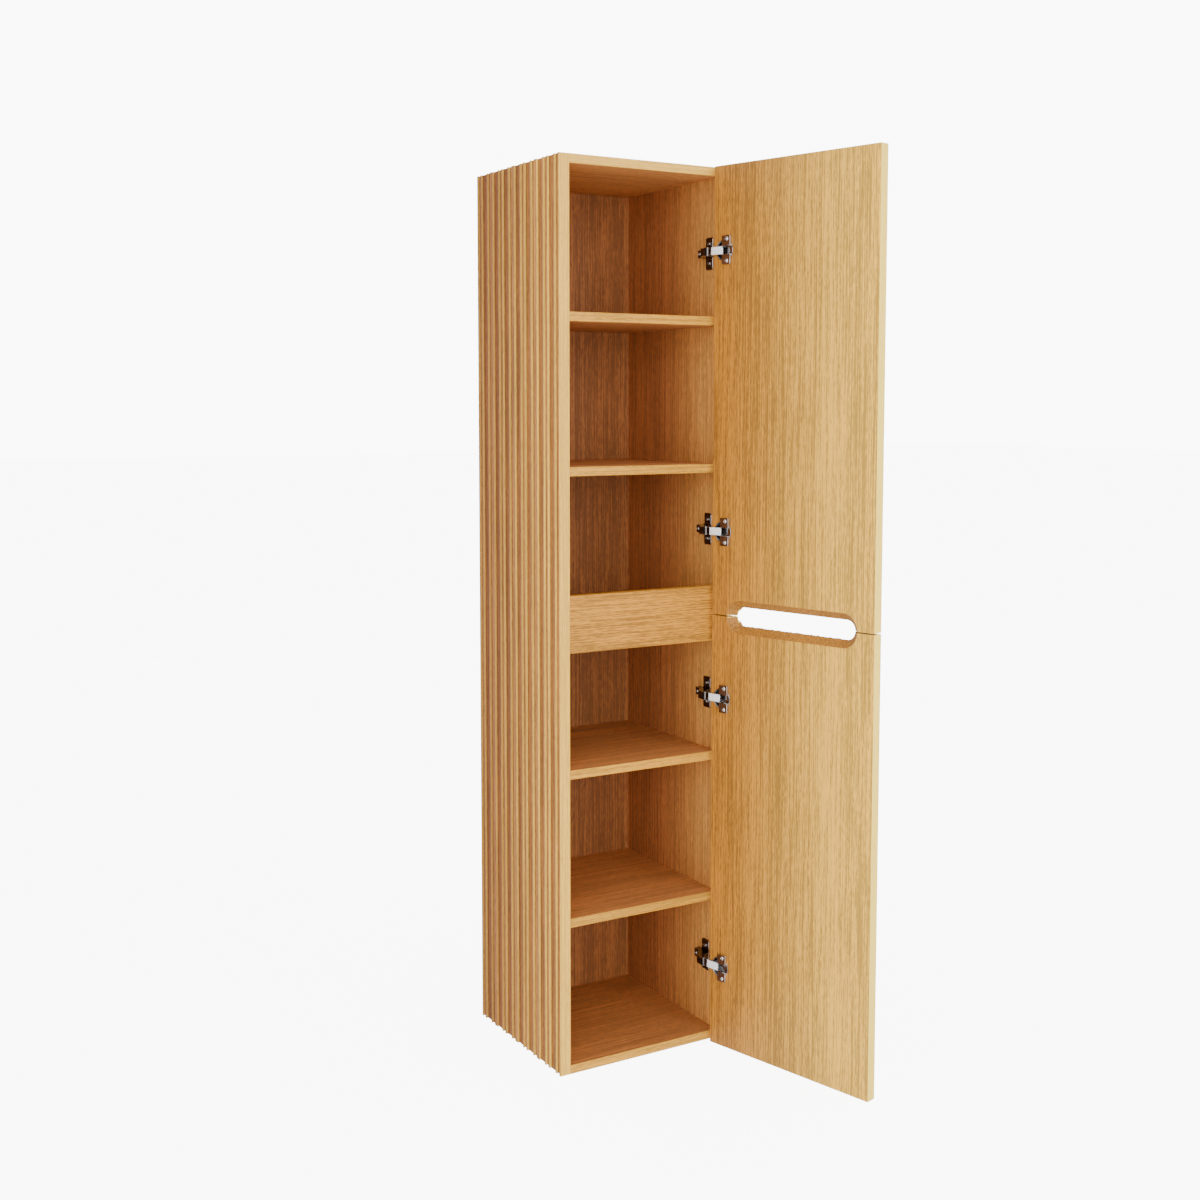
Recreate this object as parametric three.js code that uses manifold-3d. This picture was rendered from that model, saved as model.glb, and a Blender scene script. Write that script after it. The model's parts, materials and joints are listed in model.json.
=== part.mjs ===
// Tall wall cabinet with fluted sides, five shelves and two doors on concealed cup hinges.
// Units are millimetres. +X is to the right, +Y to the back and +Z up.
// The origin is the centre of the underside of the cabinet.
import * as THREE from 'three';
import { mergeVertices } from 'three/addons/utils/BufferGeometryUtils.js';
import Module from 'manifold-3d';

const wasm = await Module();
wasm.setup();

// ---- driving dimensions ----
const cabinetWidth = 330;
const cabinetDepth = 300;
const cabinetHeight = 1500;
const sideCore = 16;
const boardThickness = 15;
const backThickness = 5;
const shelfSetback = 2;
const shelvesPerHalf = 2;
const railHeight = 94;
const railThickness = 15;

const finHeight = 3.5;
const finPeriod = 79.6;
const finStarts = [-5, 14.2, 37.8, 51.2];
const finWidths = [10, 4, 5, 4];
const thinnestFin = 1;

const doorCore = 15;
const doorReveal = 1;
const doorGap = 2;
const doorStandOff = 2;
const doorOpening = THREE.MathUtils.degToRad(105);
const doorShiftIn = 38.8;
const doorShiftForward = 9.4;

const gripLength = 240;
const gripHeight = 32;
const gripChamfer = 12;

const hingeFromEnd = 140;
const hingeFromMiddle = 142;
const touchGap = 0.3;

const cupInset = 22;
const cupRadius = 17.2;
const cupDepth = 11.4;
const cupWall = 1;
const rimWidth = 0.7;
const rimThickness = 0.9;
const collarStart = 19;
const collarEnd = 36.5;
const collarThickness = 4;
const collarCorner = 1.4;
const cupScrewMargin = 0.8;
const collarMargin = 5.7;
const cupScrewShift = 7;

const cupPivotInset = 14;
const cupPivotDepth = 2.75;
const armPivotReach = 24;
const pinRadius = 1.2;
const pinLength = 13.4;
const barrelRadius = 2.6;
const lugThickness = 1.8;
const tongueWidth = 8.8;
const sideClearance = 0.4;

const linkWidth = 12.6;
const linkThickness = 1.5;
const linkRise = 2.6;
const linkOverhang = 4.2;
const linkBend = -0.8;

const plateCentre = 30.4;
const plateWidth = 20.4;
const plateHeight = 54;
const plateThickness = 2.5;
const plateCorner = 3;
const plateScrewSpacing = 32;

const armTail = 52;
const armTailHeight = 9;
const armHeel = 16;
const armNoseRadius = 4;
const armScrewInset = 6.8;
const armFloor = 1;

const screwRadius = 1.5;
const screwHeadRadius = 3.4;
const screwCrownRadius = 2;
const screwHeadHeight = 1.8;
const screwLength = 11;

const roundSegments = 12;
const cupSegments = 32;
const gripSegments = 8;
const cornerSegments = 2;
const cutMargin = 5;

// ---- places worked out from them ----
const frontY = -cabinetDepth / 2;
const backY = cabinetDepth / 2;
const halfHeight = cabinetHeight / 2;
const sideThickness = sideCore + finHeight;
const innerX = cabinetWidth / 2 - sideThickness;
const boardDepth = cabinetDepth - backThickness;
const doorWidth = cabinetWidth - 2 * doorReveal;
const doorHeight = halfHeight - doorReveal - doorGap / 2;
const doorThickness = doorCore + finHeight;
const boreRadius = cupRadius + touchGap;
const boreDepth = cupDepth + touchGap;
const holeRadius = pinRadius + touchGap;
const cupScrewSpacing = 2 * (cupRadius + cupScrewMargin);
const collarHeight = cupScrewSpacing + 2 * collarMargin;
const lugInner = tongueWidth / 2 + sideClearance;
const armWidth = 2 * (lugInner + lugThickness);

const closedCorner = new THREE.Vector2(cabinetWidth / 2 - doorReveal, frontY - doorStandOff);
const openCorner = new THREE.Vector2(closedCorner.x - doorShiftIn, closedCorner.y - doorShiftForward);

// ---- materials ----
function finish(color, roughness, metalness) {
  return new THREE.MeshStandardMaterial({ color, roughness, metalness });
}
const oak = () => finish(0xc9975a, 0.55, 0);
const oakInside = () => finish(0xb87f45, 0.6, 0);
const nickel = () => finish(0x8f8a84, 0.3, 1);
const darkNickel = () => finish(0x5b5048, 0.35, 1);
const brightSteel = () => finish(0xd9d9d6, 0.3, 1);

// ---- solids ----
function solidOf(geometry) {
  geometry.deleteAttribute('normal');
  geometry.deleteAttribute('uv');
  const merged = mergeVertices(geometry);
  const vertProperties = new Float32Array(merged.attributes.position.array);
  const triVerts = new Uint32Array(merged.index.array);
  return new wasm.Manifold(new wasm.Mesh({ numProp: 3, vertProperties, triVerts }));
}

function meshOf(name, solid, material) {
  const { vertProperties, triVerts } = solid.getMesh();
  const geometry = new THREE.BufferGeometry();
  geometry.setAttribute('position', new THREE.BufferAttribute(new Float32Array(vertProperties), 3));
  geometry.setIndex(new THREE.BufferAttribute(new Uint32Array(triVerts), 1));
  geometry.computeVertexNormals();
  const mesh = new THREE.Mesh(geometry, material);
  mesh.name = name;
  return mesh;
}

function box(x0, x1, y0, y1, z0, z1) {
  const geometry = new THREE.BoxGeometry(x1 - x0, y1 - y0, z1 - z0);
  return solidOf(geometry.translate((x0 + x1) / 2, (y0 + y1) / 2, (z0 + z1) / 2));
}

function extrude(points, z0, z1) {
  const shape = new THREE.Shape(points.map(([x, y]) => new THREE.Vector2(x, y)));
  const geometry = new THREE.ExtrudeGeometry(shape, { depth: z1 - z0, bevelEnabled: false });
  return solidOf(geometry.translate(0, 0, z0));
}

// a round bar along X, Y or Z, centred on (x, y, z)
function bar(axis, radius, length, x, y, z, segments = roundSegments) {
  const geometry = new THREE.CylinderGeometry(radius, radius, length, segments);
  if (axis === 'x') geometry.rotateZ(Math.PI / 2);
  if (axis === 'z') geometry.rotateX(Math.PI / 2);
  return solidOf(geometry.translate(x, y, z));
}

function roundedRectangle(x0, x1, y0, y1, radius) {
  const shape = new THREE.Shape();
  shape.absarc(x1 - radius, y1 - radius, radius, 0, Math.PI / 2);
  shape.absarc(x0 + radius, y1 - radius, radius, Math.PI / 2, Math.PI);
  shape.absarc(x0 + radius, y0 + radius, radius, Math.PI, Math.PI * 1.5);
  shape.absarc(x1 - radius, y0 + radius, radius, Math.PI * 1.5, Math.PI * 2);
  return shape;
}

// ---- fluted boards ----
// fins along a board of this length, each as [start, end], counted from one edge
function finsAlong(length) {
  const fins = [];
  for (let origin = 0; origin < length + finPeriod; origin += finPeriod) {
    finStarts.forEach((start, index) => {
      const from = Math.max(origin + start, 0);
      const to = Math.min(origin + start + finWidths[index], length);
      if (to - from > thinnestFin) fins.push([from, to]);
    });
  }
  return fins;
}

// a board with fins on its outer face; place turns (along, out) into the board's own x and y
function flutedBoard(length, core, height, place) {
  const points = [[length, 0], [0, 0]];
  for (const [from, to] of finsAlong(length)) {
    if (from > 0) points.push([from, core]);
    points.push([from, core + finHeight], [to, core + finHeight]);
    if (to < length) points.push([to, core]);
  }
  const [lastAlong] = points[points.length - 1];
  if (lastAlong < length) points.push([length, core]);
  return extrude(points.map(([along, out]) => place(along, out)), 0, height);
}

// ---- carcass ----
function leftSide() {
  const place = (along, out) => [-innerX - out, frontY + along];
  return flutedBoard(cabinetDepth, sideCore, cabinetHeight, place);
}

function rightSide() {
  const place = (along, out) => [innerX + out, frontY + along];
  let side = flutedBoard(cabinetDepth, sideCore, cabinetHeight, place);
  for (const z of hingeHeights()) {
    for (const end of [-1, 1]) {
      const hole = bar('x', screwRadius + touchGap, 2 * (screwLength + touchGap), innerX,
        frontY + plateCentre, z + end * plateScrewSpacing / 2);
      side = side.subtract(hole);
    }
  }
  return side;
}

function acrossBoard(z0, z1, y0, y1) {
  return box(-innerX, innerX, y0, y1, z0, z1);
}

function buildCarcass() {
  const carcass = new THREE.Group();
  const frontOfShelf = frontY + shelfSetback;
  const backOfBoard = frontY + boardDepth;
  const railBack = frontY + railThickness;
  carcass.add(meshOf('left_side_panel', leftSide(), oak()));
  carcass.add(meshOf('right_side_panel', rightSide(), oak()));
  carcass.add(meshOf('bottom_panel', acrossBoard(0, boardThickness, frontY, backOfBoard), oak()));
  carcass.add(meshOf('top_panel',
    acrossBoard(cabinetHeight - boardThickness, cabinetHeight, frontY, backOfBoard), oak()));
  carcass.add(meshOf('back_panel', acrossBoard(0, cabinetHeight, backOfBoard, backY), oakInside()));
  carcass.add(meshOf('centre_rail',
    acrossBoard(halfHeight - railHeight / 2, halfHeight + railHeight / 2, frontY, railBack), oak()));
  carcass.add(meshOf('middle_shelf',
    acrossBoard(halfHeight - boardThickness / 2, halfHeight + boardThickness / 2, railBack, backOfBoard),
    oakInside()));
  const pitch = (cabinetHeight - boardThickness) / (2 * shelvesPerHalf + 2);
  let number = 1;
  for (let step = 2 * shelvesPerHalf + 1; step > 0; step -= 1) {
    if (step === shelvesPerHalf + 1) continue;
    const z = step * pitch;
    carcass.add(meshOf(`shelf_${number}`,
      acrossBoard(z, z + boardThickness, frontOfShelf, backOfBoard), oakInside()));
    number += 1;
  }
  return carcass;
}

// ---- doors, each in a frame of its own: x from hinge edge to free edge, y from inner to outer face ----
function hingeHeights() {
  return [
    cabinetHeight - hingeFromEnd,
    halfHeight + hingeFromMiddle,
    halfHeight - hingeFromMiddle,
    hingeFromEnd,
  ];
}

// the finger grip's outline, a slot with round ends, centred on the gap between the doors
function gripCutter() {
  const halfLength = gripLength / 2;
  const radius = gripHeight / 2;
  const outline = roundedRectangle(-halfLength, halfLength, -radius, radius, radius);
  const options = { curveSegments: gripSegments, bevelEnabled: false, depth: doorThickness + 2 * cutMargin };
  const slot = new THREE.ExtrudeGeometry(outline, options);
  slot.rotateX(-Math.PI / 2).translate(doorWidth / 2, -cutMargin, halfHeight);
  const flare = new THREE.ExtrudeGeometry(outline, {
    curveSegments: gripSegments,
    depth: cutMargin,
    bevelEnabled: true,
    bevelSegments: 1,
    bevelThickness: gripChamfer,
    bevelSize: gripChamfer,
  });
  flare.rotateX(Math.PI / 2).translate(doorWidth / 2, 0, halfHeight);
  return solidOf(slot).add(solidOf(flare));
}

function doorPanel(bottom, heights) {
  let door = flutedBoard(doorWidth, doorCore, doorHeight, (along, out) => [doorWidth - along, out]);
  door = door.translate(0, 0, bottom).subtract(gripCutter());
  for (const z of heights) {
    door = door.subtract(bar('y', boreRadius, 2 * boreDepth, cupInset, 0, z, cupSegments));
    for (const end of [-1, 1]) {
      door = door.subtract(bar('y', screwRadius + touchGap, 2 * (screwLength + touchGap),
        cupInset + cupScrewShift, 0, z + end * cupScrewSpacing / 2));
    }
  }
  return door;
}

// ---- hinge parts that ride on the door, in the door's frame ----
// two ears that stand off the cup's wall next to the door's edge and hold the pin
function lugs(z) {
  const outer = lugInner + lugThickness;
  const root = cupInset - Math.sqrt((cupRadius - cupWall / 2) ** 2 - outer ** 2);
  let pair = null;
  for (const side of [-1, 1]) {
    const near = z + side * lugInner;
    const far = z + side * outer;
    const lug = box(root, cupPivotInset + barrelRadius, cupPivotDepth - barrelRadius,
      cupPivotDepth + barrelRadius, Math.min(near, far), Math.max(near, far));
    pair = pair ? pair.add(lug) : lug;
  }
  return pair;
}

function hingeCup(z) {
  const rimRadius = cupRadius + rimWidth;
  const openRadius = cupRadius - cupWall;
  const rimTop = -touchGap - rimThickness;
  const profile = [
    [0, rimTop], [rimRadius, rimTop], [rimRadius, -touchGap], [cupRadius, -touchGap],
    [cupRadius, cupDepth], [0, cupDepth],
  ];
  const lathe = new THREE.LatheGeometry(profile.map(([r, y]) => new THREE.Vector2(r, y)), cupSegments);
  const body = solidOf(lathe.translate(cupInset, 0, z));
  const collarTop = -touchGap - collarThickness;
  const collarHalf = collarHeight / 2;
  const outline = roundedRectangle(collarStart, collarEnd, -collarHalf, collarHalf, collarCorner);
  const collar = new THREE.ExtrudeGeometry(outline, {
    depth: collarThickness, bevelEnabled: false, curveSegments: cornerSegments,
  });
  collar.rotateX(-Math.PI / 2).translate(0, collarTop, z);
  const hollowDepth = cupDepth - cupWall + 2 * collarThickness;
  const hollow = bar('y', openRadius, hollowDepth, cupInset, cupDepth - cupWall - hollowDepth / 2, z,
    cupSegments);
  const channelHalf = linkWidth / 2 + sideClearance;
  const channel = box(collarStart - cutMargin, collarEnd + cutMargin, collarTop - cutMargin, rimTop,
    z - channelHalf, z + channelHalf);
  const sink = collarThickness - rimThickness;
  let cup = body.add(solidOf(collar)).subtract(hollow).subtract(channel).add(lugs(z));
  for (const end of [-1, 1]) {
    const screwZ = z + end * cupScrewSpacing / 2;
    cup = cup.subtract(bar('y', screwRadius + touchGap, 2 * cutMargin, cupInset + cupScrewShift, 0, screwZ));
    cup = cup.subtract(bar('y', screwHeadRadius + touchGap, 2 * sink, cupInset + cupScrewShift,
      collarTop, screwZ));
  }
  return cup.subtract(bar('z', holeRadius, armWidth + cutMargin, cupPivotInset, cupPivotDepth, z));
}

// a screw along +Y whose head's underside is at y = 0
function screw(length) {
  const points = [
    [0, -screwHeadHeight], [screwCrownRadius, -screwHeadHeight], [screwHeadRadius, -screwHeadHeight / 2],
    [screwHeadRadius, 0], [screwRadius, 0], [screwRadius, length - screwRadius], [0, length],
  ];
  const lathe = new THREE.LatheGeometry(points.map(([r, y]) => new THREE.Vector2(r, y)), roundSegments);
  return solidOf(lathe);
}

function pin(x, y, z) {
  return bar('z', pinRadius, pinLength, x, y, z);
}

// ---- hinge link, in the frame of the open door ----
function toDoorFrame(point) {
  const turned = point.clone().sub(openCorner);
  const turn = -(Math.PI + doorOpening);
  return turned.rotateAround(new THREE.Vector2(), turn);
}

function doorFramePoint(corner, opening, inset, depth) {
  const point = new THREE.Vector2(inset, depth).rotateAround(new THREE.Vector2(), Math.PI + opening);
  return point.add(corner);
}

// the arm's pivot is as far from the cup's pivot with the door shut as with it open
function findArmPivot() {
  const shut = doorFramePoint(closedCorner, 0, cupPivotInset, cupPivotDepth);
  const open = doorFramePoint(openCorner, doorOpening, cupPivotInset, cupPivotDepth);
  const middle = shut.clone().add(open).multiplyScalar(0.5);
  const between = open.clone().sub(shut);
  const x = innerX - armPivotReach;
  return new THREE.Vector2(x, middle.y - between.x * (x - middle.x) / between.y);
}
const armPivot = findArmPivot();

// a flat strip of this width along Z between two points of the door frame's x-y plane
function strip(from, to, thickness, width, z) {
  const along = to.clone().sub(from).normalize();
  const across = new THREE.Vector2(-along.y, along.x).multiplyScalar(thickness / 2);
  const corners = [
    from.clone().add(across), from.clone().sub(across),
    to.clone().sub(across), to.clone().add(across),
  ];
  return extrude(corners.map((corner) => [corner.x, corner.y]), z - width / 2, z + width / 2);
}

function hingeLink(z) {
  const arm = toDoorFrame(armPivot);
  const cup = new THREE.Vector2(cupPivotInset, cupPivotDepth);
  const bend = new THREE.Vector2(linkBend, -linkRise);
  const end = new THREE.Vector2(cupPivotInset + linkOverhang, -linkRise);
  const foot = new THREE.Vector2(cupPivotInset, -linkRise);
  const slope = arm.clone().sub(bend);
  const reach = slope.length() - armNoseRadius - barrelRadius;
  const shoulder = bend.clone().add(slope.setLength(reach));
  let link = bar('z', barrelRadius, tongueWidth, cup.x, cup.y, z);
  link = link.add(bar('z', barrelRadius, tongueWidth, arm.x, arm.y, z));
  link = link.add(strip(cup, foot, 2 * linkThickness, tongueWidth, z));
  link = link.add(strip(end, bend, linkThickness, linkWidth, z));
  link = link.add(bar('z', linkThickness / 2, linkWidth, bend.x, bend.y, z));
  link = link.add(strip(bend, shoulder, linkThickness, linkWidth, z));
  link = link.add(strip(bend, arm, linkThickness, tongueWidth, z));
  link = link.subtract(bar('z', holeRadius, armWidth, cup.x, cup.y, z));
  return link.subtract(bar('z', holeRadius, armWidth, arm.x, arm.y, z));
}

// ---- hinge parts on the side panel, in the cabinet's frame ----
function mountingPlate(z) {
  const y = frontY + plateCentre;
  const wings = roundedRectangle(y - plateWidth / 2, y + plateWidth / 2,
    -plateHeight / 2, plateHeight / 2, plateCorner);
  const tail = roundedRectangle(y, frontY + armTail + plateCorner, -armWidth / 2, armWidth / 2, plateCorner);
  let plate = null;
  for (const outline of [wings, tail]) {
    const slab = new THREE.ExtrudeGeometry(outline, {
      depth: plateThickness, bevelEnabled: false, curveSegments: cornerSegments,
    });
    // the outline's x runs along +Y and its y along +Z, and the slab grows towards -X
    slab.applyMatrix4(new THREE.Matrix4().makeBasis(
      new THREE.Vector3(0, 1, 0), new THREE.Vector3(0, 0, 1), new THREE.Vector3(1, 0, 0)));
    slab.translate(innerX - plateThickness, 0, z);
    plate = plate ? plate.add(solidOf(slab)) : solidOf(slab);
  }
  for (const end of [-1, 1]) {
    plate = plate.subtract(bar('x', screwRadius + touchGap, 2 * cutMargin, innerX, y,
      z + end * plateScrewSpacing / 2));
  }
  return plate;
}

function hingeArm(z) {
  const base = innerX - plateThickness - touchGap;
  const top = base - armTailHeight;
  const nose = bar('z', armNoseRadius, armWidth, armPivot.x, armPivot.y, z);
  const spine = extrude([
    [base, frontY + armTail],
    [top, frontY + armTail],
    [top, frontY + armTail - 2 * armScrewInset],
    [armPivot.x - armNoseRadius, armPivot.y + armHeel],
    [armPivot.x - armNoseRadius, armPivot.y],
    [armPivot.x + armNoseRadius, armPivot.y],
    [armPivot.x + armNoseRadius + cutMargin, armPivot.y + armHeel - cutMargin],
    [base, frontY + plateCentre - plateWidth / 2],
  ], z - armWidth / 2, z + armWidth / 2);
  const slotDepth = barrelRadius + sideClearance;
  const slot = box(armPivot.x - armNoseRadius - cutMargin, innerX, armPivot.y - armNoseRadius - cutMargin,
    armPivot.y + slotDepth, z - lugInner, z + lugInner);
  const screwHole = bar('x', screwRadius + touchGap, 2 * (armTailHeight - armFloor), top,
    frontY + armTail - armScrewInset, z);
  return spine.add(nose).subtract(slot).subtract(screwHole)
    .subtract(bar('z', holeRadius, armWidth + cutMargin, armPivot.x, armPivot.y, z));
}

// ---- assembly ----
function buildArmSide(number, z) {
  const side = new THREE.Group();
  side.add(meshOf(`hinge_${number}_mounting_plate`, mountingPlate(z), darkNickel()));
  side.add(meshOf(`hinge_${number}_arm`, hingeArm(z), darkNickel()));
  side.add(meshOf(`hinge_${number}_arm_pin`, pin(armPivot.x, armPivot.y, z), nickel()));
  for (const [label, end] of [['upper', 1], ['lower', -1]]) {
    const plateScrew = meshOf(`hinge_${number}_plate_screw_${label}`, screw(screwLength), nickel());
    plateScrew.rotation.z = -Math.PI / 2;
    plateScrew.position.set(innerX - plateThickness - touchGap, frontY + plateCentre,
      z + end * plateScrewSpacing / 2);
    side.add(plateScrew);
  }
  const armScrew = meshOf(`hinge_${number}_arm_screw`, screw(armTailHeight - 2 * armFloor), nickel());
  armScrew.rotation.z = -Math.PI / 2;
  armScrew.position.set(innerX - plateThickness - armTailHeight - 2 * touchGap,
    frontY + armTail - armScrewInset, z);
  side.add(armScrew);
  return side;
}

function buildDoor(name, bottom, firstHinge, heights) {
  const leaf = new THREE.Group();
  leaf.add(meshOf(name, doorPanel(bottom, heights), oak()));
  heights.forEach((z, index) => {
    const number = firstHinge + index;
    leaf.add(meshOf(`hinge_${number}_cup`, hingeCup(z), nickel()));
    leaf.add(meshOf(`hinge_${number}_cup_pin`, pin(cupPivotInset, cupPivotDepth, z), nickel()));
    leaf.add(meshOf(`hinge_${number}_link`, hingeLink(z), brightSteel()));
    for (const [label, end] of [['upper', 1], ['lower', -1]]) {
      const cupScrew = meshOf(`hinge_${number}_cup_screw_${label}`, screw(screwLength), brightSteel());
      cupScrew.position.set(cupInset + cupScrewShift, -2 * touchGap - rimThickness,
        z + end * cupScrewSpacing / 2);
      leaf.add(cupScrew);
    }
  });
  leaf.rotation.z = Math.PI + doorOpening;
  leaf.position.set(openCorner.x, openCorner.y, 0);
  return leaf;
}

function buildCabinet() {
  const cabinet = new THREE.Group();
  const heights = hingeHeights();
  cabinet.add(buildCarcass());
  heights.forEach((z, index) => cabinet.add(buildArmSide(index + 1, z)));
  cabinet.add(buildDoor('upper_door', halfHeight + doorGap / 2, 1, heights.slice(0, 2)));
  cabinet.add(buildDoor('lower_door', doorReveal, 3, heights.slice(2)));
  return cabinet;
}

export default buildCabinet();
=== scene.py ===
import json
from math import cos, pi, radians, sin

import bmesh
import bpy
from mathutils import Matrix, Vector


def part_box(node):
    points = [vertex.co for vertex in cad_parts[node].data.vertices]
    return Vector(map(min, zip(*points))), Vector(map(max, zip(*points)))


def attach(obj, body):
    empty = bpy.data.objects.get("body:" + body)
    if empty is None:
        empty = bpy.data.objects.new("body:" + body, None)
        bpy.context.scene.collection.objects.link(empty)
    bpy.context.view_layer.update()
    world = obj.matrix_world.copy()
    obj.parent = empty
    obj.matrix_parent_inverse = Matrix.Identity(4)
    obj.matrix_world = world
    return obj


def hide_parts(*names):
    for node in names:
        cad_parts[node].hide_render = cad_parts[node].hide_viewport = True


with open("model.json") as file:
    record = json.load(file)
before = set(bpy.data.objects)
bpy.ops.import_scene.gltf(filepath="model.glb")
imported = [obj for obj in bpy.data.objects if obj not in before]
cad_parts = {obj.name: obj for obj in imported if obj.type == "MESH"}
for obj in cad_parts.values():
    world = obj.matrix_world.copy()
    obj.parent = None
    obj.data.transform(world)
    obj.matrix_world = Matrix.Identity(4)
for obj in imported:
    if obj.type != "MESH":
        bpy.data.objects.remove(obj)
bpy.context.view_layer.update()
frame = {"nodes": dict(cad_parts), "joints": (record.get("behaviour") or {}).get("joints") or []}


cameraSetup = {
    "place": (-1.3186, -2.2475, 1.1026),
    "heading": 30.44,          # degrees from +Y towards +X
    "dip": 4.65,               # degrees below level
    "lens": 45.02,
    "sensor": 36.0,
    "shift": (-0.0015, -0.0599),
    "nearest": 0.05,
}


def addCamera():
    data = bpy.data.cameras.new("camera")
    data.lens = cameraSetup["lens"]
    data.sensor_width = cameraSetup["sensor"]
    data.shift_x, data.shift_y = cameraSetup["shift"]
    data.clip_start = cameraSetup["nearest"]
    camera = bpy.data.objects.new("camera", data)
    camera.location = cameraSetup["place"]
    camera.rotation_euler = (radians(90 - cameraSetup["dip"]), 0, radians(-cameraSetup["heading"]))
    bpy.context.scene.collection.objects.link(camera)
    bpy.context.scene.camera = camera


class Wire:
    # one output socket; sums and products of wires add the Math nodes they need
    def __init__(self, tree, socket=None):
        self.tree = tree
        self.socket = socket

    def node(self, kind, settings, values, out=0):
        made = self.tree.nodes.new("ShaderNode" + kind)
        for name, value in settings.items():
            setattr(made, name, value)
        for name, value in values.items():
            if isinstance(value, Wire):
                self.tree.links.new(value.socket, made.inputs[name])
            else:
                made.inputs[name].default_value = value
        return Wire(self.tree, made.outputs[out])

    def maths(self, operation, first, second):
        return self.node("Math", {"operation": operation}, {0: first, 1: second})

    def __add__(self, other):
        return self.maths("ADD", self, other)

    def __radd__(self, other):
        return self.maths("ADD", other, self)

    def __sub__(self, other):
        return self.maths("SUBTRACT", self, other)

    def __rsub__(self, other):
        return self.maths("SUBTRACT", other, self)

    def __mul__(self, other):
        return self.maths("MULTIPLY", self, other)

    def __rmul__(self, other):
        return self.maths("MULTIPLY", other, self)

    def smooth(self, low, high):
        return self.node("MapRange", {"interpolation_type": "SMOOTHSTEP"},
                         {"Value": self, "From Min": low, "From Max": high})

    def blend(self, first, second):
        # two colours mixed by this wire
        return self.node("Mix", {"data_type": "RGBA", "blend_type": "MIX"},
                         {0: self, 6: first, 7: second}, 2)

    def vector(self, operation, first, values, out=0):
        return self.node("VectorMath", {"operation": operation}, {0: first, **values}, out)


def newMaterial(name, fixed):
    # a Principled surface with these fixed values, and a wire to start the maths from
    material = bpy.data.materials.new(name)
    material.use_nodes = True
    surface = material.node_tree.nodes["Principled BSDF"]
    for socket, value in fixed.items():
        surface.inputs[socket].default_value = value
    return material, surface, Wire(material.node_tree)


def feed(surface, socket, wire):
    wire.tree.links.new(wire.socket, surface.inputs[socket])


def rgba(colour):
    return (*colour, 1)


# each layer of the grain: how far it is drawn out along the board, its scale and the range that it shows
grainLayers = {
    "tone": {"draw": 0.03, "scale": 16.0, "detail": 2.0, "range": (0.34, 0.66), "share": 0.20},
    "ring": {"draw": 0.008, "scale": 160.0, "detail": 2.0, "range": (0.36, 0.64), "share": 0.16},
    "line": {"draw": 0.010, "scale": 520.0, "detail": 2.0, "range": (0.38, 0.62), "share": 0.38},
    "fleck": {"draw": 0.10, "scale": 820.0, "detail": 1.0, "range": (0.40, 0.60), "share": 0.26},
}
poreLayer = {"draw": 0.07, "scale": 700.0, "detail": 0.0, "range": (0.57, 0.66), "depth": 0.5, "tint": 0.4}
wanderLayer = {"scale": 5.0, "detail": 1.0, "reach": 0.004}
oakFinish = {"specular": 0.35, "range": (0.24, 0.76), "roughSwing": 0.12, "bump": 0.2, "bumpHeight": 0.0003}


def oak(name, look, grain, offset, paintedShade=None):
    # grain is the axis that the fibres run along, and offset picks another stretch of timber
    material, surface, wire = newMaterial(name, {"Specular IOR Level": oakFinish["specular"]})
    place = wire.node("TexCoord", {}, {}, "Object")
    place = wire.vector("ADD", place, {1: offset})
    # slow wander of the fibres, so that the streaks aren't ruled lines
    wander = wire.node("TexNoise", {}, {"Vector": place, "Scale": wanderLayer["scale"],
                                        "Detail": wanderLayer["detail"]}, "Color")
    wander = wire.vector("SCALE", wander, {"Scale": wanderLayer["reach"]})
    place = wire.vector("ADD", place, {1: wander})

    def layer(setup):
        draw = setup["draw"]
        stretch = (draw, 1, 1) if grain == "x" else (1, 1, draw)
        drawn = wire.vector("MULTIPLY", place, {1: stretch})
        noise = wire.node("TexNoise", {}, {"Vector": drawn, "Scale": setup["scale"],
                                           "Detail": setup["detail"]})
        return noise.smooth(*setup["range"])

    found = {kind: layer(setup) for kind, setup in grainLayers.items()}
    shade = sum((found[kind] * grainLayers[kind]["share"] for kind in found), 0.0)
    shade = shade.smooth(*oakFinish["range"])
    tint = Vector(look["colour"])
    spread = look["spread"]
    colour = shade.blend(rgba(tint * (1 - spread)), rgba(tint * (1 + spread)))
    poreMask = layer(poreLayer) * found["ring"]
    colour = (poreMask * (2 * spread * poreLayer["depth"])).blend(colour, rgba(tint * poreLayer["tint"]))
    if paintedShade:
        # painted shade and light: the colour is darkened towards one edge of the board and lightened
        # towards the other, standing in for how the light falls across it
        along = wire.node("TexCoord", {}, {}, "Object")
        along = wire.vector("DOT_PRODUCT", along, {1: paintedShade["way"]}, "Value")
        paintedShadeColour = along.smooth(paintedShade["start"], paintedShade["end"]).blend(rgba(paintedShade["first"]), rgba(paintedShade["last"]))
        colour = wire.node("Mix", {"data_type": "RGBA", "blend_type": "MULTIPLY"},
                           {0: 1.0, 6: colour, 7: paintedShadeColour}, 2)
    feed(surface, "Base Color", colour)
    feed(surface, "Roughness", look["roughness"] + (1 - found["line"]) * oakFinish["roughSwing"])
    height = found["line"] * 0.6 + found["ring"] * 0.3 - poreMask * 0.8
    feed(surface, "Normal", wire.node("Bump", {}, {"Strength": oakFinish["bump"], "Height": height,
                                                   "Distance": oakFinish["bumpHeight"]}))
    return material


metalFinish = {"smudge": 260.0, "smudgeRange": (0.35, 0.75), "roughSwing": 0.08,
               "scratch": 2400.0, "bump": 0.06, "bumpHeight": 0.0001}


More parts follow.
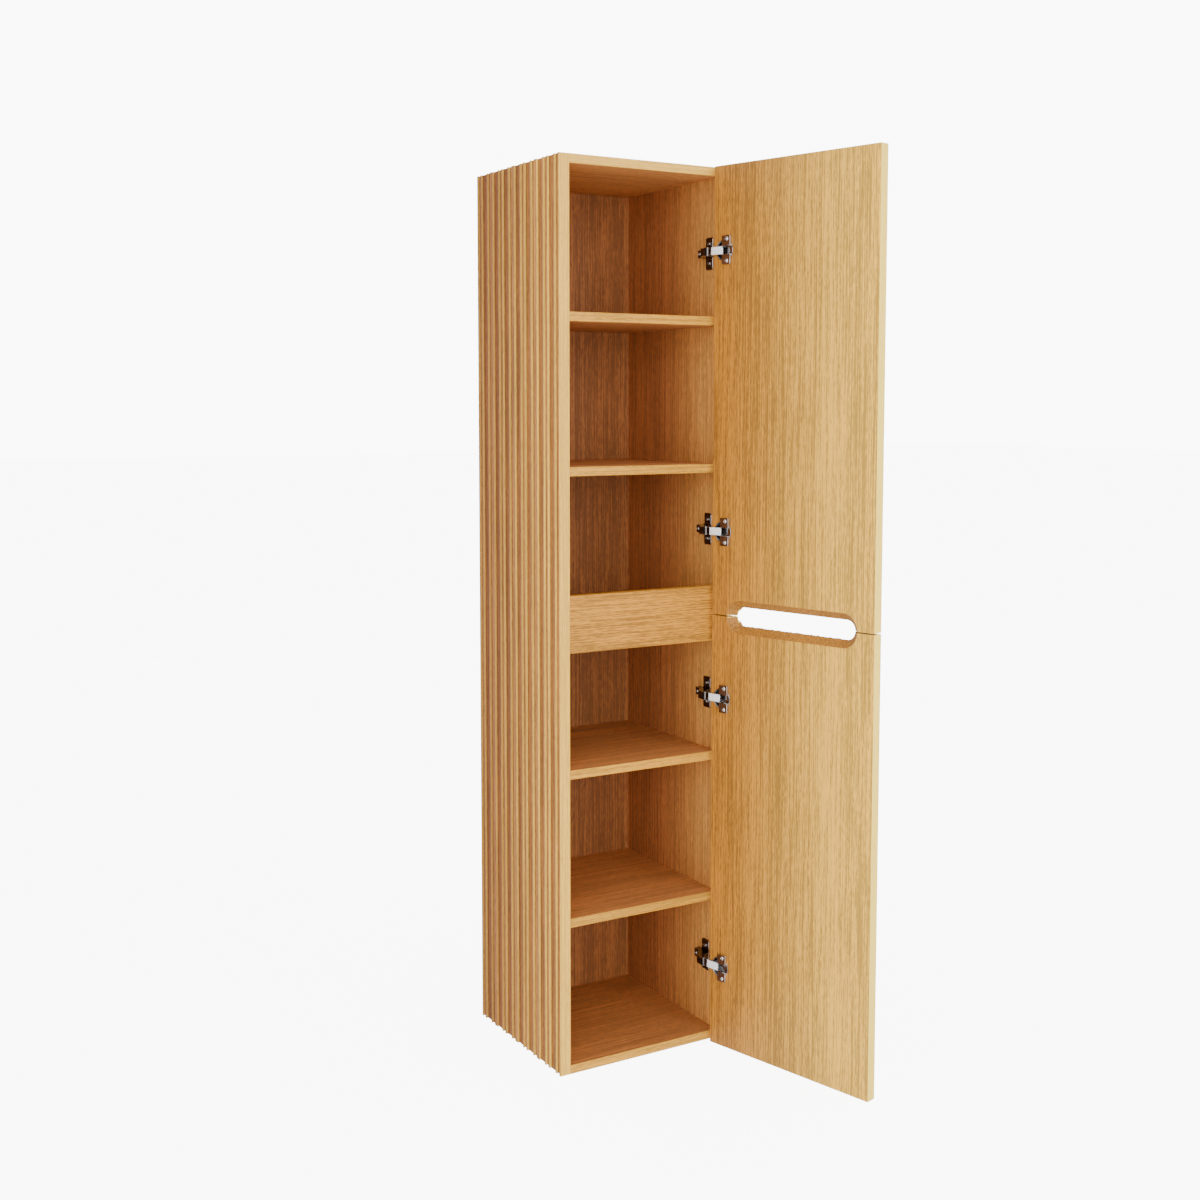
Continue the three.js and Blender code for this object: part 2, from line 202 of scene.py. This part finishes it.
def metal(name, colour, roughness, metallic=1.0):
    look = metalFinish
    material, surface, wire = newMaterial(name, {"Metallic": metallic, "Base Color": rgba(colour)})
    place = wire.node("TexCoord", {}, {}, "Object")
    smudge = wire.node("TexNoise", {}, {"Vector": place, "Scale": look["smudge"], "Detail": 3.0})
    scratch = wire.node("TexNoise", {}, {"Vector": place, "Scale": look["scratch"], "Detail": 2.0})
    feed(surface, "Roughness", roughness + smudge.smooth(*look["smudgeRange"]) * look["roughSwing"])
    feed(surface, "Normal", wire.node("Bump", {}, {"Strength": look["bump"], "Distance": look["bumpHeight"],
                                                   "Height": scratch}))
    return material


floorLook = {"size": 30, "grey": 0.9, "glow": 8.0}


def addStage():
    bm = bmesh.new()
    bmesh.ops.create_grid(bm, x_segments=1, y_segments=1, size=floorLook["size"])
    mesh = bpy.data.meshes.new("floor")
    bm.to_mesh(mesh)
    bm.free()
    floor = bpy.data.objects.new("floor", mesh)
    bpy.context.scene.collection.objects.link(floor)
    fixed = {"Base Color": rgba([floorLook["grey"]] * 3), "Roughness": 1.0, "Specular IOR Level": 0.0,
             "Emission Color": (1, 1, 1, 1), "Emission Strength": floorLook["glow"]}
    mesh.materials.append(newMaterial("floor", fixed)[0])
    floor.visible_diffuse = False      # its glow lights nothing
    floor.visible_glossy = False


# soft boxes: two broad ones light the front, and two narrow ones brighten the doors and the left side
lights = {
    "frontLeft": {"place": (-1.5, -2.9, 1.6), "aim": (0, 0, 0.75), "size": (1.6, 1.6),
                  "power": 24, "spread": 180},
    "frontRight": {"place": (1.6, -3.6, 2.0), "aim": (0, 0, 0.75), "size": (2.2, 2.2),
                   "power": 60, "spread": 180},
    "doorWash": {"place": (-0.02, -0.82, 0.75), "aim": (0.24, -0.48, 0.75), "size": (0.2, 1.7),
                 "power": 1.4, "spread": 90},
    "sideWash": {"place": (-0.45, -0.45, 0.75), "aim": (-0.17, -0.14, 0.75), "size": (0.2, 1.7),
                 "power": 1.0, "spread": 110},
}
surround = {"seen": 10.0, "ambient": 1.55}      # strength for the camera, and for everything else


def addLights():
    for name, setup in lights.items():
        data = bpy.data.lights.new(name, "AREA")
        data.shape = "RECTANGLE"
        data.size, data.size_y = setup["size"]
        data.energy = setup["power"]
        data.spread = radians(setup["spread"])
        lamp = bpy.data.objects.new(name, data)
        lamp.location = setup["place"]
        aim = Vector(setup["aim"]) - lamp.location
        lamp.rotation_euler = aim.to_track_quat("-Z", "Y").to_euler()
        lamp.visible_camera = False
        bpy.context.scene.collection.objects.link(lamp)
    world = bpy.data.worlds.new("studio")
    world.use_nodes = True
    background = world.node_tree.nodes["Background"]
    background.inputs["Color"].default_value = (1, 1, 1, 1)
    seen = Wire(world.node_tree).node("LightPath", {}, {}, "Is Camera Ray")
    feed(background, "Strength", seen * (surround["seen"] - surround["ambient"]) + surround["ambient"])
    bpy.context.scene.world = world


addCamera()
addStage()
addLights()
print("camera, floor and light are in place")


sharpAngle = radians(35)      # edges that turn by more are corners
flat = 0.99                   # how near a normal or an edge lies to an axis that it is said to follow


def breakEdges(bm, width, segments=2, wanted=lambda edge: True):
    # convex corners get a small round, and only the round is shaded smooth
    corners = [edge for edge in bm.edges
               if edge.is_convex and edge.calc_face_angle(0) > sharpAngle and wanted(edge)]
    made = bmesh.ops.bevel(bm, geom=corners, offset=width, offset_type="OFFSET", segments=segments,
                           profile=0.5, affect="EDGES", material=-1, clamp_overlap=True)
    for face in made["faces"]:
        face.smooth = True


def roundCorners(bm, corners, radius, segments):
    bmesh.ops.bevel(bm, geom=corners, offset=radius, segments=segments, profile=0.5, affect="EDGES",
                    material=-1)


def prism(points, low, high):
    # a flat outline in x and y, given its height along z
    bm = bmesh.new()
    base = bm.faces.new([bm.verts.new((x, y, low)) for x, y in points])
    raised = bmesh.ops.extrude_face_region(bm, geom=[base])["geom"]
    top = [part for part in raised if isinstance(part, bmesh.types.BMVert)]
    bmesh.ops.translate(bm, verts=top, vec=(0, 0, high - low))
    bmesh.ops.recalc_face_normals(bm, faces=bm.faces)
    return bm


def isUpright(edge):
    first, second = edge.verts
    return abs((first.co - second.co).normalized().z) > flat


def turned(profile, steps=48):
    # a profile of (radius, height) points turned about z
    bm = bmesh.new()
    points = [bm.verts.new((radius, 0, height)) for radius, height in profile]
    edges = [bm.edges.new(pair) for pair in zip(points, points[1:])]
    bmesh.ops.spin(bm, geom=points + edges, cent=(0, 0, 0), axis=(0, 0, 1), angle=2 * pi, steps=steps,
                   use_merge=True)
    bmesh.ops.remove_doubles(bm, verts=bm.verts, dist=1e-5)
    bmesh.ops.recalc_face_normals(bm, faces=bm.faces)
    for face in bm.faces:
        face.smooth = abs(face.normal.z) < flat
    for edge in bm.edges:
        if len(edge.link_faces) == 2 and edge.calc_face_angle(0) > sharpAngle:
            edge.smooth = False
    return bm


def arc(centre, radius, start, end, steps):
    angles = [radians(start + (end - start) * step / steps) for step in range(steps + 1)]
    return [(centre[0] + radius * cos(angle), centre[1] + radius * sin(angle)) for angle in angles]


def cut(bm, point, normal):
    bmesh.ops.bisect_plane(bm, geom=bm.verts[:] + bm.edges[:] + bm.faces[:], plane_co=point,
                           plane_no=normal)


def paint(bm, index, wanted=lambda face: True):
    for face in bm.faces:
        if wanted(face):
            face.material_index = index


def addTo(target, part, matrix=Matrix.Identity(4)):
    # moves one bmesh into another, at this place
    bmesh.ops.transform(part, matrix=matrix, verts=part.verts)
    mesh = bpy.data.meshes.new("part")
    part.to_mesh(mesh)
    part.free()
    target.from_mesh(mesh)
    bpy.data.meshes.remove(mesh)


def addPiece(name, bm, body, materials, replaced):
    mesh = bpy.data.meshes.new(name)
    bm.to_mesh(mesh)
    bm.free()
    for material in materials:
        mesh.materials.append(material)
    piece = bpy.data.objects.new(name, mesh)
    bpy.context.scene.collection.objects.link(piece)
    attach(piece, body)
    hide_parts(replaced)


doorHeading = radians(285)                                     # the open doors stand this way, from +X
doorWay = Vector((cos(doorHeading), sin(doorHeading), 0))      # along a door's width
doorOut = Vector((-doorWay.y, doorWay.x, 0))                   # out through its fins
front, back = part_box("left_side_panel")[0].y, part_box("left_side_panel")[1].y
# painted shade and light multiplied into the oak: the doors darken towards their hinges and lighten towards
# their free edges, the fluted outsides darken towards the back, and the inner faces of the sides are lit
# near the front and darken towards the back
doorPaintedShade = {"way": doorWay, "start": 0.188563, "end": 0.516323,      # from the hinges out
            "first": (0.70, 0.60, 0.66), "last": (1.22, 1.48, 2.00)}
sidePaintedShade = {"way": (0, 1, 0), "start": front, "end": back,
            "first": (1.12, 1.22, 1.2), "last": (0.70, 0.62, 0.72)}
innerPaintedShade = {"way": (0, 1, 0), "start": front, "end": back - 0.1,
             "first": (1.60, 1.90, 1.70), "last": (0.90, 0.80, 0.88)}

# each look: its middle colour, how far the grain strays from it, and its roughness
doorLook = {"colour": (0.565, 0.255, 0.021), "spread": 0.37, "roughness": 0.44}
doorEdgeLook = {"colour": (0.97, 0.67, 0.10), "spread": 0.06, "roughness": 0.42}
gripLook = {"colour": (0.36, 0.145, 0.016), "spread": 0.30, "roughness": 0.50}
finLook = {"colour": (0.38, 0.135, 0.0145), "spread": 0.36, "roughness": 0.50}
finWallLook = {"colour": (0.82, 0.49, 0.085), "spread": 0.16, "roughness": 0.45}
# painted shade: the floors of the grooves between the fins get a darker copy of the fin oak, standing in
# for the shade in the channels
grooveShadeLook = {"colour": (0.26, 0.088, 0.011), "spread": 0.36, "roughness": 0.60}
lippingLook = {"colour": (0.80, 0.45, 0.058), "spread": 0.14, "roughness": 0.42}
innerSideLook = {"colour": (0.42, 0.165, 0.045), "spread": 0.28, "roughness": 0.50}
backLook = {"colour": (0.34, 0.128, 0.036), "spread": 0.30, "roughness": 0.50}
railLook = {"colour": (0.48, 0.205, 0.0155), "spread": 0.36, "roughness": 0.44}
shelfLook = {"colour": (0.44, 0.17, 0.047), "spread": 0.26, "roughness": 0.48}
bandLook = {"colour": (0.585, 0.278, 0.023), "spread": 0.26, "roughness": 0.44}
topLook = {"colour": (0.58, 0.25, 0.070), "spread": 0.26, "roughness": 0.48}

doorOak = oak("oak upright", doorLook, "z", (0.0, 0.0, 0.0), doorPaintedShade)
railOak = oak("oak rail", railLook, "x", (0.3, 0.2, 0.1))
backOak = oak("oak back", backLook, "z", (0.7, 0.3, 0.4))
innerOak = oak("oak inner side", innerSideLook, "z", (0.2, 0.1, 0.9), innerPaintedShade)
shelfOak = oak("oak shelf", shelfLook, "x", (0.1, 0.6, 0.2))
topOak = oak("oak top", topLook, "x", (0.8, 0.1, 0.5))
finOak = oak("oak fins", finLook, "z", (0.2, 0.8, 0.3), sidePaintedShade)
grooveShadeOak = oak("oak grooves painted shade", grooveShadeLook, "z", (0.6, 0.2, 0.5), sidePaintedShade)
finWallOak = oak("oak fin walls", finWallLook, "z", (0.9, 0.5, 0.1), sidePaintedShade)
lippingUp = oak("oak lipping upright", lippingLook, "z", (0.5, 0.1, 0.2))
lippingAcross = oak("oak lipping across", lippingLook, "x", (0.4, 0.1, 0.6))
doorEdgeOak = oak("oak door edge", doorEdgeLook, "z", (0.3, 0.7, 0.8))
gripOak = oak("oak grip", gripLook, "z", (0.8, 0.6, 0.1))
bandOak = oak("oak band", bandLook, "x", (0.2, 0.4, 0.6))

# in metres: the round on a board's edges, the shortest edge that gets it, the thickness of the band along a
# board's front, and how far in a face lies before it counts as the floor of a groove or a slot
boardLook = {"round": 0.0005, "shortest": 0.0025, "band": 0.0008, "frontShortest": 0.1, "sunk": 0.001}
facing = 0.7      # a face looks along an axis when its normal has this much of it


def mergedCopy(node):
    # the node's own solid as whole flat faces
    bm = bmesh.new()
    bm.from_mesh(frame["nodes"][node].data)
    bmesh.ops.remove_doubles(bm, verts=bm.verts, dist=1e-6)
    bmesh.ops.dissolve_limit(bm, angle_limit=radians(1), verts=bm.verts, edges=bm.edges)
    return bm


def isLong(edge):
    return edge.calc_length() > boardLook["shortest"]


def buildSide(node):
    bm = mergedCopy(node)
    materials = [finOak, lippingUp, innerOak, finWallOak, grooveShadeOak]
    outward = -1 if node.startswith("left") else 1
    low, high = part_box(node)
    finTop = high.x if outward > 0 else -low.x
    for face in bm.faces:
        centre = face.calc_center_median()
        chosen = finOak
        if face.normal.y < -facing:
            chosen = lippingUp if centre.y < low.y + 1e-4 else finWallOak
        elif abs(face.normal.y) <= facing:
            if face.normal.x * outward < -facing:
                chosen = innerOak
            elif centre.x * outward < finTop - boardLook["sunk"]:
                # painted shade on the floors of the grooves
                chosen = grooveShadeOak
        face.material_index = materials.index(chosen)
    breakEdges(bm, boardLook["round"], wanted=isLong)
    addPiece(node + "_board", bm, "cabinet", materials, node)


def buildAcross(node, main, band):
    bm = mergedCopy(node)
    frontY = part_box(node)[0].y
    seam = frontY + boardLook["band"]
    cut(bm, (0, seam, 0), (0, 1, 0))
    paint(bm, 1, lambda face: face.calc_center_median().y < seam)
    breakEdges(bm, boardLook["round"], wanted=lambda edge: edge.calc_length() > boardLook["frontShortest"]
               and max(vert.co.y for vert in edge.verts) < frontY + 1e-5)
    addPiece(node + "_board", bm, "cabinet", [main, band], node)


def buildDoor(node, body):
    bm = mergedCopy(node)
    materials = [doorOak, lippingUp, finOak, doorEdgeOak, grooveShadeOak, finWallOak, gripOak]
    finTop = max(vert.co.dot(doorOut) for vert in bm.verts)
    freeEdge = max(vert.co.dot(doorWay) for vert in bm.verts)
    for face in bm.faces:
        centre = face.calc_center_median()
        outward, along = face.normal.dot(doorOut), face.normal.dot(doorWay)
        chosen = doorOak
        if outward > facing:
            # painted shade on the floors of the grooves
            chosen = finOak if centre.dot(doorOut) > finTop - boardLook["sunk"] else grooveShadeOak
        elif along > facing:
            chosen = doorEdgeOak if centre.dot(doorWay) > freeEdge - boardLook["sunk"] else finWallOak
        elif abs(face.normal.z) > 0.3 or abs(outward) < 0.9:
            chosen = lippingUp if abs(along) > 0.9 else gripOak
        face.material_index = materials.index(chosen)
    breakEdges(bm, boardLook["round"], wanted=isLong)
    addPiece(node + "_board", bm, body, materials, node)


buildSide("left_side_panel")
buildSide("right_side_panel")
buildAcross("top_panel", topOak, lippingAcross)
buildAcross("bottom_panel", shelfOak, bandOak)
buildAcross("centre_rail", railOak, railOak)
for node in ("middle_shelf", "shelf_1", "shelf_2", "shelf_3", "shelf_4"):
    buildAcross(node, shelfOak, bandOak)
addPiece("back_panel_board", mergedCopy("back_panel"), "cabinet", [backOak], "back_panel")
buildDoor("upper_door", "upper_door_leaf")
buildDoor("lower_door", "lower_door_leaf")
print("boards are made")


# the hinges are drawn in millimetres
millimetre = 0.001
near = 0.01
faceOut = Matrix.Rotation(pi / 2, 4, "X")      # turns what stands along z to face -y
polished = metal("polished nickel", (0.74, 0.72, 0.70), 0.09)
smoked = metal("smoked nickel", (0.16, 0.14, 0.13), 0.14)
# painted shade: the cup's shell gets a darkened nickel, standing in for the shadow on its rim
rimShadeMetal = metal("cup nickel painted shade", (0.30, 0.29, 0.29), 0.18)
collarMetal = metal("collar nickel", (0.42, 0.43, 0.47), 0.16)
darkScrew = metal("dark screw steel", (0.34, 0.31, 0.29), 0.2)
screwSteel = metal("screw steel", (0.72, 0.71, 0.69), 0.18)
linkSteel = metal("link steel", (0.97, 0.97, 0.96), 0.42, 0.10)


def shifted(x, y, z):
    return Matrix.Translation((x * millimetre, y * millimetre, z * millimetre))


def highest(edge):
    return max(vert.co.z for vert in edge.verts)


# the crown gives shares of the head's radius and thickness
screwLook = {"head": 3.4, "thick": 1.8, "crown": ((1, 0.45), (0.86, 0.82), (0.6, 1)),
             "radius": 1.5, "point": 0.6, "taper": 2.4, "tip": 1.0,
             "recess": 0.7, "recessArm": 2.1, "recessDepth": 1.1, "recessTaper": 0.7}


def screw(length):
    # stands on z = 0 with its head up and its shank down, and has a cross cut in the head
    look = screwLook
    head, thick, radius, depth = look["head"], look["thick"], look["radius"], look["recessDepth"]
    crown = [(head * wide, thick * high) for wide, high in look["crown"]]
    bm = turned([(0, -length), (look["point"], -length + look["tip"]), (radius, -length + look["taper"]),
                 (radius, 0), (head, 0), *crown, (0, thick)], 32)

    def isLid(face):
        return face.calc_center_median().z > thick - near

    bmesh.ops.dissolve_faces(bm, faces=[face for face in bm.faces if isLid(face)])
    # the lid is cut along the sides of the cross
    for axis in ((1, 0, 0), (0, 1, 0)):
        for across in (-look["recessArm"], -look["recess"], look["recess"], look["recessArm"]):
            lid = [face for face in bm.faces if isLid(face) and face.normal.z > 0.9]
            edges = {edge for face in lid for edge in face.edges}
            verts = {vert for face in lid for vert in face.verts}
            bmesh.ops.bisect_plane(bm, geom=list(verts) + list(edges) + lid, dist=1e-5,
                                   plane_co=Vector(axis) * across, plane_no=axis)
    cross = []
    for face in bm.faces:
        centre = face.calc_center_median()
        short, long = sorted((abs(centre.x), abs(centre.y)))
        if isLid(face) and short < look["recess"] and long < look["recessArm"]:
            cross.append(face)
    for face in bm.faces:
        if face.normal.z > flat:
            face.smooth = False
    sunk = bmesh.ops.extrude_face_region(bm, geom=cross)["geom"]
    bmesh.ops.delete(bm, geom=[face for face in cross if face.is_valid], context="FACES_ONLY")
    floor = [part for part in sunk if isinstance(part, bmesh.types.BMVert)]
    bmesh.ops.translate(bm, verts=floor, vec=(0, 0, -depth))
    bmesh.ops.scale(bm, verts=floor, vec=(look["recessTaper"], look["recessTaper"], 1))
    for face in bm.faces:
        centre = face.calc_center_median()
        if centre.z > thick - depth - near and centre.xy.length < look["recessArm"]:
            face.smooth = False
    return bm


pinLook = {"radius": 1.2, "half": 6.7, "head": 1.9, "thick": 0.5, "edge": 0.15, "face": 0.6}


def pin():
    look = pinLook
    # one half's outline, from the middle of its end to the shank
    head, half, end = look["head"], look["half"], look["half"] + look["thick"]
    outline = [(0, end), (head * look["face"], end), (head, half + look["edge"]), (head, half),
               (look["radius"], half)]
    lower = [(radius, -height) for radius, height in outline]
    return turned(lower + outline[::-1], 24)


plateLook = {"half": 10.2, "wing": 27.0, "tail": 24.6, "tailHalf": 6.6, "thick": 2.5, "corner": 3.0,
             "round": 0.5, "centre": 30.4, "screws": 16.0, "screwLength": 10.5, "screwSeat": 0.3,
           "twist": 0.4}
padLook = {"skirt": 1.2, "edge": 0.6, "rise": 0.5, "crest": 0.55, "dish": 4.6, "slope": 0.8, "floor": 0.1,
           "sink": 0.1}


def mountingPlate():
    # x runs into the cabinet, y runs up and z stands off the side panel
    half, wing, thick = plateLook["half"], plateLook["wing"], plateLook["thick"]
    tail, narrow = plateLook["tail"], plateLook["tailHalf"]
    bm = prism([(-half, -wing), (half, -wing), (half, -narrow), (tail, -narrow), (tail, narrow),
                (half, narrow), (half, wing), (-half, wing)], 0, thick)
    roundCorners(bm, [edge for edge in bm.edges if isUpright(edge)], plateLook["corner"], 5)
    breakEdges(bm, plateLook["round"], 3, lambda edge: highest(edge) > thick - near and not isUpright(edge))
    paint(bm, 1, lambda face: face.normal.x < -facing)      # the edge that faces the front shines
    for end in (-1, 1):
        # a raised pad with a dished seat under each screw head
        dish, floor = padLook["dish"], thick + padLook["floor"]
        pad = turned([(dish + padLook["skirt"], thick - padLook["sink"]),
                      (dish + padLook["edge"], thick + padLook["rise"]), (dish, thick + padLook["crest"]),
                      (dish - padLook["slope"], floor), (0, floor)])
        addTo(bm, pad, Matrix.Translation((0, end * plateLook["screws"], 0)))
    return bm


armLook = {"pivot": 3.83, "reach": 24.0, "nose": 4.0, "noseLap": 1.0, "earLap": 1.5, "earInner": 4.8,
           "earRound": 0.3, "half": 6.6, "tail": 52.0, "foot": 2.8, "footStart": 20.2, "top": 11.8,
           "ramp": 38.4, "shoulder": 16.0, "throat": 11.0, "throatDrop": 5.0, "corner": 2.4, "round": 0.9,
           "screw": (45.2, 11.9), "screwLength": 7.0}


def hingeArm():
    # x runs into the cabinet from its front, y stands off the side panel and z runs up
    look = armLook
    pivot, reach, nose, tail = look["pivot"], look["reach"], look["nose"], look["tail"]
    neck = pivot + nose - look["noseLap"]
    over, under = reach + nose, reach - nose
    bm = prism([(tail, look["foot"]), (tail, look["top"]), (look["ramp"], look["top"]),
                (pivot + look["shoulder"], over), (neck, over), (neck, under),
                (pivot + look["throat"], under - look["throatDrop"]), (look["footStart"], look["foot"])],
               -look["half"], look["half"])
    bends = [edge for edge in bm.edges if isUpright(edge)
             and abs(edge.verts[0].co.x - neck) > near and edge.verts[0].co.y > look["foot"] + near]
    roundCorners(bm, bends, look["corner"], 4)
    breakEdges(bm, look["round"], 3, lambda edge: min(vert.co.x for vert in edge.verts) > neck - near
               and abs(edge.verts[0].co.z - edge.verts[1].co.z) < near)
    for side in (-1, 1):
        # one ear on each side of the link, round the pin
        low, high = sorted((side * look["earInner"], side * look["half"]))
        start = neck + look["earLap"]
        ear = prism([(start, under), (start, over)] + arc((pivot, reach), nose, 90, 270, 14), low, high)
        breakEdges(ear, look["earRound"], 2, lambda edge: not isUpright(edge)
                   and max(vert.co.x for vert in edge.verts) < neck)
        addTo(bm, ear)
    return bm


linkLook = {"half": 6.3, "thick": 1.5, "rise": 2.6, "overhang": 4.2, "bend": -0.8, "round": 0.4,
            "eye": 2.6, "eyeHalf": 4.4, "eyeRound": 0.3, "eyeSteps": 24, "web": 1.2, "paleShare": 0.3}
cupPivot = Vector((14.0, 2.75, 0))      # in from the door's hinge edge, and in from its inner face


def hingeLink(armPivot):
    # in the door's own frame; armPivot is where the arm's pin stands there
    look = linkLook
    half, wide, eye = look["thick"] / 2, look["half"], look["eyeHalf"]
    bend = Vector((look["bend"], -look["rise"]))
    end = Vector((cupPivot.x + look["overhang"], -look["rise"]))
    slope = armPivot.xy - bend
    shoulder = bend + slope.normalized() * (slope.length - armLook["nose"] - look["eye"])
    across = Vector((-slope.y, slope.x)).normalized() * half
    if across.y > 0:
        across = -across
    bm = prism([(end.x, end.y - half), (bend.x, bend.y - half), shoulder + across, shoulder - across,
                (bend.x, bend.y + half), (end.x, end.y + half)], -wide, wide)
    breakEdges(bm, look["round"], 3)
    # the end next to the arm is dark, like the arm
    seam = bend + slope * look["paleShare"]
    cut(bm, seam.to_3d(), slope.to_3d())
    paint(bm, 1, lambda face: (face.calc_center_median().xy - seam).dot(slope) > 0)
    tongue = prism([bend, armPivot.xy + across, armPivot.xy - across, bend - 2 * across], -eye, eye)
    paint(tongue, 1)
    addTo(bm, tongue)
    for index, centre in ((2, cupPivot.xy), (1, armPivot.xy)):
        ring = arc(centre, look["eye"], 0, 360, look["eyeSteps"])[:-1]
        boss = prism(ring, -eye, eye)
        breakEdges(boss, look["eyeRound"], 2, lambda edge: not isUpright(edge))
        paint(boss, index)
        addTo(bm, boss)
    left, right = cupPivot.x - look["web"], cupPivot.x + look["web"]
    web = prism([(left, -look["rise"]), (right, -look["rise"]), (right, cupPivot.y), (left, cupPivot.y)],
                -eye, eye)
    paint(web, 2)
    addTo(bm, web)
    return bm


cupLook = {"inset": 22.0, "radius": 17.2, "depth": 11.4, "wall": 1.0, "heel": 1.5, "innerHeel": (1.6, 1.4),
           "rim": 0.7, "lift": 0.3, "rimThick": 0.9, "rimEdge": 0.35, "lipEdge": 0.5,
           "screws": 18.0, "screwShift": 7.0, "screwSeat": -3.5, "screwLength": 10.5, "twist": 0.3}
collarLook = {"start": 19.0, "end": 36.5, "half": 23.7, "top": 4.3, "channel": 6.7, "corner": 1.4,
              "round": 0.45}
housingLook = {"start": 28.0, "end": 35.0, "half": 5.6, "top": -4.9, "sink": 0.1, "round": 0.6}
lugLook = {"inner": 4.8, "outer": 6.6, "half": 2.6, "length": 8.0}


def hingeCup():
    # in the door's own frame: the door's face is y = 0 and the bore runs towards +y
    look = cupLook
    outer, inner = look["radius"], look["radius"] - look["wall"]
    rim, top, bottom = outer + look["rim"], look["lift"] + look["rimThick"], -look["depth"]
    floor = bottom + look["wall"]
    heel, edge, lip = look["heel"], look["rimEdge"], look["lipEdge"]
    heelIn, heelUp = look["innerHeel"]
    shell = turned([(0, bottom), (outer - heel, bottom), (outer, bottom + heel), (outer, look["lift"]),
                    (rim, look["lift"]), (rim, top - edge), (rim - edge, top), (inner + lip, top),
                    (inner, top - lip), (inner, floor + heelUp), (inner - heelIn, floor), (0, floor)], 64)
    # the darkened nickel is painted shade on the rim
    paint(shell, 1)
    bm = bmesh.new()
    addTo(bm, shell, Matrix.Translation((look["inset"], 0, 0)) @ faceOut)
    start, end, half, collarTop = (collarLook[part] for part in ("start", "end", "half", "top"))
    for side in (-1, 1):
        # the collar's two blocks, one above and one below the link's channel
        low, high = sorted((side * collarLook["channel"], side * half))
        block = prism([(start, low), (end, low), (end, high), (start, high)], look["lift"], collarTop)
        corners = [edge for edge in block.edges
                   if isUpright(edge) and abs(edge.verts[0].co.y) > half - near]
        roundCorners(block, corners, collarLook["corner"], 4)
        breakEdges(block, collarLook["round"], 3,
                   lambda edge: highest(edge) > collarTop - near and not isUpright(edge))
        paint(block, 2, lambda face: face.normal.z > facing)
        addTo(bm, block, faceOut)
    # the spring's housing, deep in the cup and clear of the folded link
    start, end, half, top = (housingLook[part] for part in ("start", "end", "half", "top"))
    housing = prism([(start, -half), (end, -half), (end, half), (start, half)],
                    floor - housingLook["sink"], top)
    breakEdges(housing, housingLook["round"], 3,
               lambda edge: min(vert.co.z for vert in edge.verts) > top - near)
    paint(housing, 2)
    addTo(bm, housing, faceOut)
    for side in (-1, 1):
        # a lug on each side of the link's eye, round the pin
        low, high = sorted((side * lugLook["inner"], side * lugLook["outer"]))
        foot, half = cupPivot.x - lugLook["length"], lugLook["half"]
        lug = prism([(foot, cupPivot.y - half), (cupPivot.x, cupPivot.y - half)]
                    + arc(cupPivot.xy, half, -90, 90, 8) + [(foot, cupPivot.y + half)], low, high)
        addTo(bm, lug)
    return bm


def addMetal(name, bm, matrix, body, materials, node=None):
    # brings a drawing in millimetres to its place, where it stands for this node or the one of its name
    bmesh.ops.transform(bm, matrix=matrix @ Matrix.Scale(millimetre, 4), verts=bm.verts)
    addPiece(name + "_metal", bm, body, materials, node or name)


joints = {joint["name"]: joint for joint in frame["joints"]}
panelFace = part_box("hinge_1_mounting_plate")[1].x      # the side panel's inner face


def buildHinge(number):
    half = "upper" if number < 3 else "lower"
    links, leaf = half + "_hinge_links", half + "_door_leaf"
    name = f"hinge_{number}_"
    low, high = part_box(name + "link")
    level = (low.z + high.z) / 2
    armPivot = Vector(joints[half + "_link_swing"]["pos_m"][:2]).to_3d()
    doorPivot = Vector(joints[half + "_door_swing"]["pos_m"][:2]).to_3d()
    corner = doorPivot - (doorWay * cupPivot.x + doorOut * cupPivot.y) * millimetre
    onDoor = Matrix.Translation((corner.x, corner.y, level)) @ Matrix.Rotation(doorHeading, 4, "Z")
    fromCorner = (armPivot - corner) / millimetre
    armInDoor = Vector((fromCorner.dot(doorWay), fromCorner.dot(doorOut), 0))
    onPanel = Matrix.Translation((panelFace, front, level))
    plateTurn = Matrix(((0, 0, -1, 0), (1, 0, 0, 0), (0, 1, 0, 0), (0, 0, 0, 1)))
    armTurn = Matrix(((0, -1, 0, 0), (1, 0, 0, 0), (0, 0, 1, 0), (0, 0, 0, 1)))
    onPlate = onPanel @ shifted(0, plateLook["centre"], 0) @ plateTurn
    onArm = onPanel @ armTurn
    addMetal(name + "plate", mountingPlate(), onPlate, "cabinet", [smoked, polished],
             name + "mounting_plate")
    addMetal(name + "arm", hingeArm(), onArm, "cabinet", [smoked])
    addMetal(name + "link", hingeLink(armInDoor), onDoor, links,
             [linkSteel, smoked, polished])
    addMetal(name + "cup", hingeCup(), onDoor, leaf, [polished, rimShadeMetal, collarMetal])
    for label, pivot, body in (("arm_pin", armPivot, "cabinet"), ("cup_pin", doorPivot, leaf)):
        addMetal(name + label, pin(), Matrix.Translation((pivot.x, pivot.y, level)), body,
                 [screwSteel])
    for label, end in (("upper", 1), ("lower", -1)):
        seat = shifted(0, end * plateLook["screws"], plateLook["thick"] + plateLook["screwSeat"])
        twist = Matrix.Rotation(plateLook["twist"] * end, 4, "Z")
        addMetal(f"{name}plate_screw_{label}", screw(plateLook["screwLength"]), onPlate @ seat @ twist,
                 "cabinet", [darkScrew])
        seat = shifted(cupLook["inset"] + cupLook["screwShift"], cupLook["screwSeat"],
                       end * cupLook["screws"])
        twist = Matrix.Rotation(cupLook["twist"] * end, 4, "Z")
        addMetal(f"{name}cup_screw_{label}", screw(cupLook["screwLength"]), onDoor @ seat @ faceOut @ twist,
                 leaf, [screwSteel])
    seat = shifted(*armLook["screw"], 0) @ Matrix.Rotation(-pi / 2, 4, "X")
    addMetal(name + "arm_screw", screw(armLook["screwLength"]), onArm @ seat, "cabinet",
             [darkScrew])


for number in (1, 2, 3, 4):
    buildHinge(number)
print("hinges are made")
